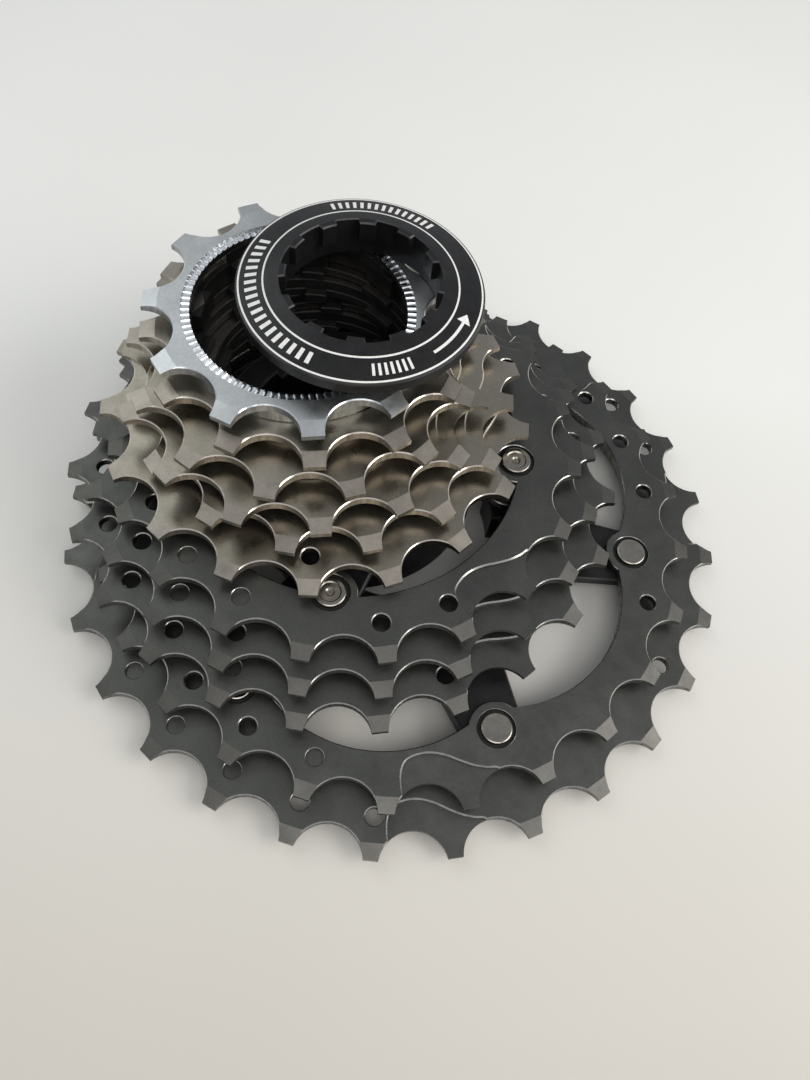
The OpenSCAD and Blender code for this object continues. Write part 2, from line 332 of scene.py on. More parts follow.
def spline_outline():
    """Bore with inward tabs, one of them narrow."""
    def half_angle(i, radius):
        width = KEY_TAB_W if i % TAB_COUNT == 0 else TAB_W
        return math.degrees(math.asin(width / 2 / radius))

    points = []
    for i in range(TAB_COUNT):
        mid = 90 + i * 360 / TAB_COUNT
        after = mid + 360 / TAB_COUNT
        tip_half = half_angle(i, TAB_TIP_R)
        here_half = half_angle(i, BORE_R)
        next_half = half_angle(i + 1, BORE_R)
        points += arc((0, 0), TAB_TIP_R, mid - tip_half, mid + tip_half, 4)
        points += arc((0, 0), BORE_R, mid + here_half, after - next_half, 8)
    return points


def lobed_opening(count, first, lobe_at, lobe_r, wall_at, wall_r):
    """Opening whose wall is one arc between each pair of lobes. The lobes lie at lobe_at from the axis,
    and each arc's centre lies at wall_at, halfway between two lobes."""
    step = 360 / count
    lobe = Vector(polar(lobe_at, step / 2)) - Vector((wall_at, 0))
    spread = math.acos((wall_r ** 2 + lobe.length ** 2 - lobe_r ** 2) / (2 * wall_r * lobe.length))
    half_wall = math.degrees(math.atan2(lobe.y, lobe.x) - spread)
    corner = Vector(polar(wall_r, half_wall)) - lobe
    inward = Vector(polar(1, step / 2 + 180))
    half_lobe = math.degrees(corner.angle(inward))
    points = []
    for i in range(count):
        mid = first + (i + 0.5) * step
        points += arc(polar(wall_at, mid), wall_r, mid - half_wall, mid + half_wall, 40)
        lobe_mid = mid + step / 2
        facing = lobe_mid + 180
        lobe_arc = arc(polar(lobe_at, lobe_mid), lobe_r, facing + half_lobe, facing - half_lobe, 14)
        points += lobe_arc[1:-1]
    return points


def arms_outline(count, first, reach, halves):
    """Hub with tapered arms that end in round bosses."""
    root_half, tip_half = halves
    root_x = math.sqrt(ARM_ROOT_R ** 2 - root_half ** 2)
    points = []
    for i in range(count):
        turn = first + i * 360 / count
        lean = math.degrees(math.atan2(root_half - tip_half, reach - root_x))
        arm = [(root_x, -root_half)]
        arm += arc((reach, 0), tip_half, -90 + lean, 90 - lean, 20)
        arm += [(root_x, root_half)]
        points += turned(arm, turn)
    return points


def between(p, q, r, s, t):
    """Value at t on the curve from q to r, whose neighbours are p and s."""
    square = (2 * p - 5 * q + 4 * r - s) * t ** 2
    cube = (3 * q - p - 3 * r + s) * t ** 3
    return 0.5 * (2 * q + (r - p) * t + square + cube)


def smooth_path(points, steps=5):
    """Curve through the points, from the first to the last."""
    ends = [points[0]] + list(points) + [points[-1]]
    path = []
    for quad in zip(ends, ends[1:], ends[2:], ends[3:]):
        for i in range(steps):
            path.append(tuple(between(*values, i / steps) for values in zip(*quad)))
    return path + [points[-1]]


def ramp_outline(reach):
    """Shift ramp beside a tooth on the X axis. It comes in from one gap, rounds, and runs out
    into the next gap. The shape's X is a share of the reach inwards from the tooth roots."""
    low, high, outside = -9.8, 6.5, 9
    shape = [
        (-0.5, -9.4), (-0.88, -8.4), (-1.02, -6.5), (-1, -4.3), (-0.82, -2.1),
        (-0.55, -0.1), (-0.32, 1.8), (-0.17, 3.7), (-0.08, 5.4),
    ]
    lip = [(2.4, low), (0.3, low)] + [(x * reach, y) for x, y in shape] + [(1.6, high)]
    return [(outside, low)] + smooth_path(lip) + [(outside, high)]


# --- Meshes --------------------------------------------------------------------------------

def signed_area(points):
    return sum(x0 * y1 - x1 * y0 for (x0, y0), (x1, y1) in zip(points, points[1:] + points[:1])) / 2


def wound(points, left):
    """The points in the order that keeps the metal on the left, for an outer edge or for a hole."""
    return points if (signed_area(points) > 0) == left else points[::-1]


def inset(points, amount):
    """The outline moved to its left by amount, with mitred corners."""
    result = []
    for before, here, after in zip(points[-1:] + points[:-1], points, points[1:] + points[:1]):
        a = (Vector(here) - Vector(before)).normalized()
        b = (Vector(after) - Vector(here)).normalized()
        normal = Vector((-a.y - b.y, a.x + b.x))
        share = max(normal.length_squared, 0.5)
        result.append(tuple(Vector(here) + normal * (2 * amount / share)))
    return result


def add_walls(bm, points, levels):
    """Strips of faces up an outline, at levels that are pairs of inset and height.
    Returns the edges of the lowest and the highest ring."""
    rings = [[bm.verts.new((x, y, z)) for x, y in inset(points, amount)] for amount, z in levels]
    for low, high in zip(rings, rings[1:]):
        for i in range(len(low)):
            j = (i + 1) % len(low)
            bm.faces.new((low[i], low[j], high[j], high[i]))
    return [
        [bm.edges.get((ring[i], ring[(i + 1) % len(ring)])) for i in range(len(ring))]
        for ring in (rings[0], rings[-1])
    ]


def add_plate(bm, outer, holes, z0, z1, edge=EDGE):
    """Flat plate with a small chamfer around every outline."""
    levels = [(edge, z0), (0, z0 + edge), (0, z1 - edge), (edge, z1)]
    ends = [add_walls(bm, wound(outer, True), levels)]
    ends += [add_walls(bm, wound(hole, False), levels) for hole in holes]
    for side in (0, 1):
        edges = [edge for pair in ends for edge in pair[side]]
        bmesh.ops.triangle_fill(bm, use_beauty=True, edges=edges)


def add_cutter(bm, outline, floor, top, flare):
    """Pocket cutter from floor upwards, wider by flare at the level of top."""
    levels = [(0, floor), (0, top - flare), (-flare, top), (-flare, top + CUTTER_REACH)]
    ends = add_walls(bm, wound(outline, True), levels)
    for edges in ends:
        bmesh.ops.triangle_fill(bm, use_beauty=True, edges=edges)


def add_lathe(bm, profile, steps, about=(0, 0)):
    """Closed profile of radius and height pairs, turned about an axis. A radius of 0 is on the axis."""
    rings = []
    for radius, z in profile:
        if radius == 0:
            rings.append([bm.verts.new((about[0], about[1], z))] * steps)
        else:
            rings.append([bm.verts.new((*p, z)) for p in circle(about, radius, steps)])
    for low, high in zip(rings, rings[1:] + rings[:1]):
        for i in range(steps):
            j = (i + 1) % steps
            corners = list(dict.fromkeys((low[i], low[j], high[j], high[i])))
            if len(corners) > 2:
                bm.faces.new(corners)


def to_object(bm, name, offset=(0, 0)):
    """Object of the mesh, in metres, at its place in the frame."""
    bmesh.ops.recalc_face_normals(bm, faces=bm.faces)
    bmesh.ops.translate(bm, vec=(offset[0], offset[1], 0), verts=bm.verts)
    bmesh.ops.scale(bm, vec=(MM, MM, MM), verts=bm.verts)
    mesh = bpy.data.meshes.new(name)
    bm.to_mesh(mesh)
    bm.free()
    obj = bpy.data.objects.new(name, mesh)
    bpy.context.scene.collection.objects.link(obj)
    return obj


def combine(obj, other, operation):
    """Exact boolean of two objects. The other one is used up."""
    modifier = obj.modifiers.new("combine", "BOOLEAN")
    modifier.operation = operation
    modifier.solver = "EXACT"
    modifier.object = other
    graph = bpy.context.evaluated_depsgraph_get()
    mesh = bpy.data.meshes.new_from_object(obj.evaluated_get(graph))
    obj.modifiers.clear()
    old = obj.data
    obj.data = mesh
    bpy.data.meshes.remove(old)
    bpy.data.objects.remove(other)
    return obj


def clean(obj, smooth_angle=SMOOTH_ANGLE):
    """Merges doubled points, and shades smooth except across edges sharper than the angle."""
    bm = bmesh.new()
    bm.from_mesh(obj.data)
    bmesh.ops.remove_doubles(bm, verts=bm.verts, dist=MERGE_DIST * MM)
    bmesh.ops.dissolve_degenerate(bm, edges=bm.edges, dist=SLIVER_DIST * MM)
    bmesh.ops.recalc_face_normals(bm, faces=bm.faces)
    for edge in bm.edges:
        flat = len(edge.link_faces) == 2 and edge.calc_face_angle(0) < math.radians(smooth_angle)
        edge.smooth = flat
    for face in bm.faces:
        face.smooth = True
    bm.to_mesh(obj.data)
    bm.free()


# --- Materials -------------------------------------------------------------------------------

def new_material(name):
    material = bpy.data.materials.new(name)
    material.use_nodes = True
    tree = material.node_tree
    return material, tree, tree.nodes["Principled BSDF"]


def noise(tree, scale, detail=4, stretch=(1, 1, 1), roughness=0.55):
    """Noise in the part's own coordinates. Scale is in repeats per millimetre."""
    place = tree.nodes.new("ShaderNodeTexCoord")
    mapping = tree.nodes.new("ShaderNodeMapping")
    mapping.inputs["Scale"].default_value = [s / MM for s in stretch]
    tree.links.new(place.outputs["Object"], mapping.inputs["Vector"])
    texture = tree.nodes.new("ShaderNodeTexNoise")
    texture.inputs["Scale"].default_value = scale
    texture.inputs["Detail"].default_value = detail
    texture.inputs["Roughness"].default_value = roughness
    tree.links.new(mapping.outputs["Vector"], texture.inputs["Vector"])
    return texture.outputs["Fac"]


def ramp(tree, source, low, high, start=0.3, end=0.7):
    """Colour or grey ramp between two values."""
    node = tree.nodes.new("ShaderNodeValToRGB")
    colours = [(v, v, v, 1) if isinstance(v, (int, float)) else (*v, 1) for v in (low, high)]
    for element, place, colour in zip(node.color_ramp.elements, (start, end), colours):
        element.position = place
        element.color = colour
    tree.links.new(source, node.inputs["Fac"])
    return node.outputs["Color"]


def mix(tree, kind, amount, a, b):
    node = tree.nodes.new("ShaderNodeMix")
    node.data_type = "RGBA"
    node.blend_type = kind
    node.inputs["Factor"].default_value = amount
    tree.links.new(a, node.inputs["A"])
    tree.links.new(b, node.inputs["B"])
    return node.outputs["Result"]


def bump(tree, shader, height, strength, distance_mm):
    node = tree.nodes.new("ShaderNodeBump")
    node.inputs["Strength"].default_value = strength
    node.inputs["Distance"].default_value = distance_mm * MM
    tree.links.new(height, node.inputs["Height"])
    tree.links.new(node.outputs["Normal"], shader.inputs["Normal"])


def plated_metal(name, dark, light, rough, grain=0.12, patch=0.09, specks=0.0):
    """Satin metal with soft patches, a fine grain and a little uneven gloss."""
    material, tree, shader = new_material(name)
    shader.inputs["Metallic"].default_value = 1
    patches = ramp(tree, noise(tree, patch, 5), dark, light)
    fine = ramp(tree, noise(tree, 2.5, 3), 0.86, 1.0)
    colour = mix(tree, "MULTIPLY", 1, patches, fine)
    if specks:
        spots = ramp(tree, noise(tree, 1.1, 2), 1.0, 1.0 - specks, 0.66, 0.72)
        colour = mix(tree, "MULTIPLY", 1, colour, spots)
    tree.links.new(colour, shader.inputs["Base Color"])
    gloss = ramp(tree, noise(tree, 0.35, 5), rough - 0.06, rough + 0.06)
    tree.links.new(gloss, shader.inputs["Roughness"])
    bump(tree, shader, noise(tree, 6, 3), grain, 0.02)
    return material


def cut_metal(name, dark, light, rough):
    """Sheared or machined edge, with streaks along the axis."""
    material, tree, shader = new_material(name)
    shader.inputs["Metallic"].default_value = 1
    streaks = noise(tree, 1.6, 4, (1, 1, 0.12))
    tree.links.new(ramp(tree, streaks, dark, light), shader.inputs["Base Color"])
    tree.links.new(ramp(tree, streaks, rough + 0.08, rough - 0.05), shader.inputs["Roughness"])
    bump(tree, shader, streaks, 0.35, 0.03)
    return material


def anodised(name, dark, light, rough):
    """Black anodised alloy: faint mottling and a dull gloss."""
    material, tree, shader = new_material(name)
    shader.inputs["Specular IOR Level"].default_value = 0.28
    tree.links.new(ramp(tree, noise(tree, 0.4, 5), dark, light), shader.inputs["Base Color"])
    gloss = ramp(tree, noise(tree, 1.3, 4), rough - 0.05, rough + 0.08)
    tree.links.new(gloss, shader.inputs["Roughness"])
    bump(tree, shader, noise(tree, 9, 3), 0.25, 0.012)
    return material


def paint(name, dark, light):
    material, tree, shader = new_material(name)
    tree.links.new(ramp(tree, noise(tree, 3, 4), dark, light), shader.inputs["Base Color"])
    shader.inputs["Roughness"].default_value = 0.5
    bump(tree, shader, noise(tree, 7, 2), 0.2, 0.01)
    return material


# Painted shade: the table's tone darkens towards the front, as the light falls off
TABLE_FRONT_Y = -0.11
TABLE_BACK_Y = 0.04
TABLE_FRONT_SHADED_TONE = (0.50, 0.465, 0.415)
TABLE_BACK_LIT_TONE = (0.76, 0.76, 0.735)


def table_top():
    """Pale surface, darker and a little warmer towards the front: painted shade where the light falls
    off.
    """
    material, tree, shader = new_material("table_top")
    place = tree.nodes.new("ShaderNodeTexCoord")
    split = tree.nodes.new("ShaderNodeSeparateXYZ")
    tree.links.new(place.outputs["Object"], split.inputs["Vector"])
    span = tree.nodes.new("ShaderNodeMapRange")
    span.inputs["From Min"].default_value = TABLE_FRONT_Y
    span.inputs["From Max"].default_value = TABLE_BACK_Y
    tree.links.new(split.outputs["Y"], span.inputs["Value"])
    falloff_shade = ramp(tree, span.outputs["Result"], TABLE_FRONT_SHADED_TONE, TABLE_BACK_LIT_TONE, 0, 1)
    soft = ramp(tree, noise(tree, 0.008, 2), 0.96, 1.0, 0.35, 0.65)
    tree.links.new(mix(tree, "MULTIPLY", 1, falloff_shade, soft), shader.inputs["Base Color"])
    shader.inputs["Roughness"].default_value = 0.45
    shader.inputs["Specular IOR Level"].default_value = 0.3
    bump(tree, shader, noise(tree, 1.5, 3), 0.05, 0.02)
    return material


# The edge materials are much lighter than the faces: partly a lighter cut finish on the chamfers,
# partly a painted highlight along them
TITANIUM = [
    plated_metal("titanium_face", (0.092, 0.094, 0.088), (0.120, 0.122, 0.114), 0.42, specks=0.12),
    plated_metal("titanium_tip", (0.102, 0.100, 0.093), (0.136, 0.132, 0.122), 0.44, patch=0.2),
    cut_metal("titanium_edge", (0.36, 0.35, 0.33), (0.60, 0.58, 0.55), 0.24),
    cut_metal("titanium_wall", (0.10, 0.10, 0.095), (0.20, 0.195, 0.18), 0.36),
]
NICKEL = [
    plated_metal("nickel_face", (0.295, 0.270, 0.222), (0.355, 0.328, 0.275), 0.31, patch=0.13),
    plated_metal("nickel_tip", (0.285, 0.258, 0.224), (0.395, 0.358, 0.312), 0.36, patch=0.2),
    cut_metal("nickel_edge", (0.62, 0.56, 0.49), (0.85, 0.78, 0.70), 0.2),
    cut_metal("nickel_wall", (0.22, 0.195, 0.165), (0.38, 0.34, 0.29), 0.3),
]
BRIGHT = [
    plated_metal("bright_face", (0.50, 0.52, 0.53), (0.60, 0.62, 0.63), 0.36, patch=0.2),
    plated_metal("bright_tip", (0.53, 0.55, 0.56), (0.62, 0.64, 0.65), 0.34, patch=0.2),
    cut_metal("bright_edge", (0.72, 0.75, 0.78), (0.88, 0.9, 0.92), 0.18),
    cut_metal("bright_wall", (0.26, 0.27, 0.28), (0.44, 0.455, 0.47), 0.3),
]
BLACK = anodised("black_anodised", (0.006, 0.006, 0.0065), (0.012, 0.012, 0.013), 0.32)
KNURL = anodised("knurled_black", (0.045, 0.045, 0.045), (0.11, 0.11, 0.11), 0.35)
BLACK_EDGE = anodised("black_edge", (0.02, 0.02, 0.021), (0.045, 0.045, 0.047), 0.3)
ALLOY = cut_metal("turned_alloy", (0.24, 0.22, 0.195), (0.42, 0.39, 0.35), 0.3)
WASHER = cut_metal("washer_steel", (0.42, 0.43, 0.44), (0.6, 0.61, 0.62), 0.25)
RIVET = plated_metal("rivet_face", (0.25, 0.235, 0.205), (0.33, 0.31, 0.275), 0.27, patch=0.6)
# Painted shade for the floors and walls of the rivet recesses
SHADOW = anodised("recess_painted_shade", (0.006, 0.006, 0.006), (0.012, 0.012, 0.012), 0.6)
# Painted shade for the insides of the bores
BORE_SHADE = anodised("bore_painted_shade", (0.008, 0.008, 0.008), (0.02, 0.019, 0.018), 0.5)
WHITE = paint("white_paint", (0.62, 0.62, 0.6), (0.78, 0.78, 0.76))

# The upright share of a face's normal says what the face is: flat, tip bevel, chamfer or wall
FLAT_NZ = 0.985
BEVEL_NZ = 0.93
CHAMFER_NZ = 0.35
# The material slot of painted shade, in the bores and in the rivet recesses
SHADE_INDEX = 4


def dress(obj, materials, shade_inside=None):
    """Four materials by slope, and a fifth, painted shade, for what lies inside a radius."""
    for material in materials:
        obj.data.materials.append(material)
    for face in obj.data.polygons:
        upright = abs(face.normal.z)
        if shade_inside and Vector(face.center[:2]).length < shade_inside * MM:
            face.material_index = SHADE_INDEX
        else:
            face.material_index = sum(upright < limit for limit in (FLAT_NZ, BEVEL_NZ, CHAMFER_NZ))


def place(obj, node, slot):
    """The piece stands for the CAD node and moves with its body."""
    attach(obj, NODE_BODY[node])
    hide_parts(node)
    return obj


# --- Pieces ------------------------------------------------------------------------------------

def bevel_tips(plate, teeth, top):
    """Bevels the outboard side of the tooth tips."""
    tip = tip_r(teeth)
    inner = tip - TIP_BEVEL_LEN - CUTTER_MARGIN
    outer = tip + CUTTER_MARGIN
    profile = [
        (inner, top + CUTTER_MARGIN * TIP_BEVEL_SLOPE),
        (outer, top - (TIP_BEVEL_LEN + CUTTER_MARGIN) * TIP_BEVEL_SLOPE),
        (outer, top + CUTTER_REACH),
        (inner, top + CUTTER_REACH),
    ]
    bm = bmesh.new()
    add_lathe(bm, profile, teeth * TIP_STEPS_PER_TOOTH)
    return combine(plate, to_object(bm, "tip_cutter"), "DIFFERENCE")


def cut_pockets(plate, outlines, depth, top, flare):
    if not outlines:
        return plate
    bm = bmesh.new()
    for outline in outlines:
        add_cutter(bm, outline, top - depth, top, flare)
    return combine(plate, to_object(bm, "pocket_cutter"), "DIFFERENCE")


def plate_pockets(plate, wheel, ramp_reach, top, recesses):
    """Shift ramps, dimples and rivet recesses in the outboard face.
    Each kind is cut on its own, as pockets of different kinds can meet."""
    rim = root_r(wheel.teeth)
    step = 360 / wheel.teeth
    ramp_at_rim = moved(ramp_outline(ramp_reach), (rim, 0))
    ramps = [turned(ramp_at_rim, wheel.phase + k * step) for k in wheel.ramps]
    spots = [polar(rim - HOLE_INSET, wheel.phase + k * step) for k in wheel.dimples]
    dimples = [circle(spot, HOLE_R, HOLE_STEPS) for spot in spots]
    recess_lines = [circle(spot, RECESS_R, RECESS_STEPS) for spot in recesses]
    plate = cut_pockets(plate, ramps, RAMP_DEPTH, top, RAMP_FLARE)
    plate = cut_pockets(plate, dimples, DIMPLE_DEPTH, top, POCKET_FLARE)
    return cut_pockets(plate, recess_lines, RECESS_DEPTH, top, POCKET_FLARE)


def toothed_plate(name, wheel, opening, shanks, z0, z1):
    """Toothed plate about the origin, with its holes and bevelled tips."""
    step = 360 / wheel.teeth
    spots = [polar(root_r(wheel.teeth) - HOLE_INSET, wheel.phase + k * step) for k in wheel.holes]
    loops = [opening] + [circle(spot, HOLE_R, HOLE_STEPS) for spot in spots] + shanks
    bm = bmesh.new()
    add_plate(bm, tooth_outline(wheel.teeth, wheel.phase), loops, z0, z1)
    return bevel_tips(to_object(bm, name), wheel.teeth, z1)


def shift_object(obj, offset):
    for vertex in obj.data.vertices:
        vertex.co.x += offset[0] * MM
        vertex.co.y += offset[1] * MM


def rivet_spots(count, first, reach):
    return [polar(reach, first + i * 360 / count) for i in range(count)]


def ring_openings(node):
    """The ring's large opening, and the places of its rivets."""
    if NODE_BODY[node] == NODE_BODY["large_spider"]:
        step = REAR_WINDOW_STEP if node == "sprocket_28t" else 0
        wall = (WINDOW_OFFSET, WINDOW_R + step)
        return lobed_opening(*LARGE_PATTERN, LARGE_LOBE_R, *wall), rivet_spots(*LARGE_PATTERN)
    wall = (0, MID_OPENING_R)
    return lobed_opening(*MID_PATTERN, MID_LOBE_R, *wall), rivet_spots(*MID_PATTERN)


def paint_recess_shade(obj, spots, top):
    """Dark material as painted shade on the floors and walls of the rivet recesses, below their flared
    rims.
    """
    for face in obj.data.polygons:
        here = Vector(face.center[:2]) / MM
        in_recess = any((here - Vector(spot)).length < RECESS_SHADE_R for spot in spots)
        if in_recess and face.center.z / MM < top - RECESS_SHADE_DEPTH:
            face.material_index = SHADE_INDEX


def ring_sprocket(node):
    wheel = RINGS[node]
    z0, z1 = heights(node)
    opening, spots = ring_openings(node)
    shanks = [circle(spot, RIVET_SHANK_R + RIVET_ROOM, HOLE_STEPS) for spot in spots]
    recesses = spots if node in RECESSED_RINGS else []
    obj = toothed_plate(node + "_ring", wheel, opening, shanks, z0, z1)
    obj = plate_pockets(obj, wheel, RING_RAMP_REACH, z1, recesses)
    dress(obj, TITANIUM + [SHADOW])
    # Painted shade in the rivet recesses
    paint_recess_shade(obj, recesses, z1)
    shift_object(obj, centre_of(node))
    clean(obj)
    return place(obj, node, "dark_titanium")


def own_spacer(low, high, outer):
    """Spacer in one piece with its sprocket, with a splined bore."""
    bm = bmesh.new()
    add_plate(bm, circle((0, 0), outer, BORE_STEPS), [spline_outline()], low, high)
    return to_object(bm, "spacer")


def single_sprocket(node, bore, spacer_r, materials, slot, shade_r):
    """Loose sprocket. It has its own spacer if its CAD box is taller than its plate."""
    wheel = SINGLES[node]
    low, z1 = heights(node)
    z0 = z1 - PLATE_T
    obj = toothed_plate(node + "_plate", wheel, bore, [], z0, z1)
    obj = plate_pockets(obj, wheel, SINGLE_RAMP_REACH, z1, [])
    if z0 - low > OWN_SPACER_MIN_H:
        obj = combine(obj, own_spacer(low, z0 + OWN_SPACER_OVERLAP, spacer_r), "UNION")
    if node == "sprocket_11t":
        obj = combine(obj, serration_seat(z1), "DIFFERENCE")
    dress(obj, materials + [BORE_SHADE], shade_r)
    shift_object(obj, centre_of(node))
    clean(obj)
    return place(obj, node, slot)


def serration_seat(top):
    """Cutter for the step in which the ring of serrations lies."""
    inner, outer = SERRATION_R[0] - SHORT_MARGIN, SERRATION_R[1]
    floor, over = top - SERRATION_SEAT_DEPTH, top + SHORT_MARGIN
    bm = bmesh.new()
    add_lathe(bm, [(inner, floor), (outer, floor), (outer, over), (inner, over)], SEAT_STEPS)
    return to_object(bm, "serration_seat")


def serrations(node):
    """Ring of fine radial teeth on the smallest sprocket's face, which grip the lockring."""
    top = heights(node)[1]
    foot = top - SERRATION_FOOT_DEPTH
    base = top - SERRATION_BASE_DEPTH
    inner, outer = SERRATION_R[0], SERRATION_R[1] - SERRATION_ROOM
    steps = SERRATION_COUNT * len(SERRATION_CRESTS)
    bm = bmesh.new()
    rings = []
    for radius, crested in ((inner, False), (inner, True), (outer, True), (outer, False)):
        ring = []
        for i in range(steps):
            crest = SERRATION_CRESTS[i % len(SERRATION_CRESTS)]
            z = base + SERRATION_HEIGHT * crest if crested else foot
            ring.append(bm.verts.new((*polar(radius, (i + 0.5) * 360 / steps), z)))
        rings.append(ring)
    for a, b in zip(rings, rings[1:] + rings[:1]):
        for i in range(steps):
            j = (i + 1) % steps
            bm.faces.new((a[i], a[j], b[j], b[i]))
    obj = to_object(bm, "sprocket_11t_serrations", centre_of(node))
    # The serrations wear the lighter edge material, partly a painted highlight on their crests
    obj.data.materials.append(BRIGHT[2])
    clean(obj)
    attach(obj, NODE_BODY[node])
    return obj


def spider(node, count, first, reach, halves, gap):
    """Splined hub, with arms in the gap between two rings."""
    z0, z1 = heights(node)
    arm_z0 = heights(gap[0])[1] + ARM_GAP
    arm_z1 = heights(gap[1])[0] - ARM_GAP
    bm = bmesh.new()
    add_plate(bm, circle((0, 0), HUB_R, HUB_STEPS), [spline_outline()], z0, z1, HUB_EDGE)
    obj = to_object(bm, node + "_body")
    spots = rivet_spots(count, first, reach)
    holes = [circle((0, 0), ARM_HOLE_R, BORE_STEPS)]
    holes += [circle(spot, RIVET_SHANK_R + RIVET_ROOM, HOLE_STEPS) for spot in spots]
    bm = bmesh.new()
    add_plate(bm, arms_outline(count, first, reach, halves), holes, arm_z0, arm_z1, ARM_EDGE)
    obj = combine(obj, to_object(bm, "arms"), "UNION")
    dress(obj, [BLACK, BLACK, BLACK_EDGE, BLACK])
    shift_object(obj, centre_of(node))
    clean(obj)
    return place(obj, node, "black_alloy")


def rivet_profile(z0, z1, dimple):
    """Half section of a rivet with a rounded head at each end."""
    head = RECESS_DEPTH + RIVET_PROUD - RIVET_ROOM
    r, s = RIVET_HEAD_R, RIVET_SHANK_R
    bottom = [(0, z0), (r - 0.2, z0), (r, z0 + 0.2), (r, z0 + head), (s, z0 + head)]
    rim = [(s, z1 - head), (r, z1 - head), (r, z1 - 0.22), (r - 0.06, z1 - 0.08), (r - 0.22, z1)]
    if dimple:
        face = [(r - 0.75, z1 - 0.02), (r - 0.95, z1 - 0.16), (0.75, z1 - 0.2)]
        face += [(0.5, z1 - 0.42), (0, z1 - 0.46)]
    else:
        face = [(r - 0.5, z1 - 0.04), (1, z1 - 0.07), (0, z1 - 0.08)]
    return bottom + rim + face


def rivets(node, spots, dimple):
    z0, z1 = heights(node)
    bm = bmesh.new()
    for spot in spots:
        add_lathe(bm, rivet_profile(z0, z1, dimple), RIVET_STEPS, spot)
    obj = to_object(bm, node + "_turned", centre_of(node))
    obj.data.materials.append(RIVET)
    clean(obj, RIVET_SMOOTH_ANGLE)
    return place(obj, node, "rivet_steel")


def turned_ring(node, inner, outer, material, edge=RING_EDGE, groove=0,
                steps=RING_STEPS, about=((0, 0),)):
    """Plain turned ring, or several, with an optional groove around the outside."""
    z0, z1 = heights(node)
    mid = (z0 + z1) / 2
    profile = [(inner, z0 + edge), (inner + edge, z0), (outer - edge, z0), (outer, z0 + edge)]
    if groove:
        floor = outer - groove
        wide, narrow = GROOVE_HALVES
        profile += [(outer, mid - wide), (floor, mid - narrow)]
        profile += [(floor, mid + narrow), (outer, mid + wide)]
    profile += [(outer, z1 - edge), (outer - edge, z1), (inner + edge, z1), (inner, z1 - edge)]
    bm = bmesh.new()
    for spot in about:
        add_lathe(bm, profile, steps, spot)
    obj = to_object(bm, node + "_turned")
    obj.data.materials.append(material)
    # Painted shade on the faces of the bore
    obj.data.materials.append(BORE_SHADE)
    for face in obj.data.polygons:
        face.material_index = int(Vector(face.center[:2]).length < (inner + edge) * MM)
    shift_object(obj, centre_of(node))
    clean(obj)
    return place(obj, node, "plain_alloy")


# --- Lockring ------------------------------------------------------------------------------------

def face_height(radius, top):
    """Height of the conical face at a radius."""
    outer = FLANGE_R - FACE_EDGE
    share = (outer - radius) / (outer - NOTCH_R)
    return top - FACE_RISE + FACE_RISE * share


def thread_profile(z0, z1):
    """Ridges of the thread from z0 up, as many as fit below z1."""
    root = THREAD_R - THREAD_DEPTH
    profile = []
    for i in range(int((z1 - z0) // THREAD_PITCH)):
        for rise, height in ((0, 0.15), (1, 0.45), (1, 0.6), (0, 0.9)):
            profile.append((root + THREAD_DEPTH * rise, z0 + (i + height) * THREAD_PITCH))
    return profile


def lockring(node):
    z0, z1 = heights(node)
    rim_top = z1 - FACE_RISE
    neck_top = rim_top - RIM_H
    root = THREAD_R - THREAD_DEPTH
    bore, core = LOCKRING_BORE_R, LOCKRING_CORE_R
    profile = [(bore + 0.2, z0), (root, z0)]
    profile += thread_profile(z0, neck_top)
    profile += [(root, neck_top), (FLANGE_R - 0.25, neck_top), (FLANGE_R, neck_top + 0.25)]
    profile += [(FLANGE_R, rim_top - 0.3), (FLANGE_R - 0.08, rim_top - 0.1)]
    profile += [(FLANGE_R - FACE_EDGE, rim_top), (NOTCH_R, z1), (core, z1)]
    profile += [(core, z1 - NOTCH_LEN), (bore, z1 - NOTCH_LEN), (bore, z0 + 0.2)]
    bm = bmesh.new()
    add_lathe(bm, profile, LOCKRING_STEPS)
    obj = combine(to_object(bm, "lockring_body"), tool_notches(z1), "DIFFERENCE")
    dress(obj, [BLACK, BLACK, BLACK_EDGE, BLACK])
    shift_object(obj, centre_of(node))
    clean(obj)
    return place(obj, node, "black_alloy")


def tool_notches(z1):
    """Cutter for the notched end of the hole, flared a little at the outboard face."""
    far = math.degrees(math.asin(NOTCH_W / 2 / NOTCH_R))
    near = math.degrees(math.asin(NOTCH_W / 2 / TOOL_R))
    outline = []
    for i in range(NOTCH_COUNT):
        mid = FIRST_NOTCH + i * 360 / NOTCH_COUNT
        after = mid + 360 / NOTCH_COUNT
        outline += arc((0, 0), NOTCH_R, mid - far, mid + far, 5)
        outline += arc((0, 0), TOOL_R, mid + near, after - near, 4)
    bm = bmesh.new()
    add_cutter(bm, outline, z1 - NOTCH_LEN - SHORT_MARGIN, z1, NOTCH_FLARE)
    return to_object(bm, "notch_cutter")


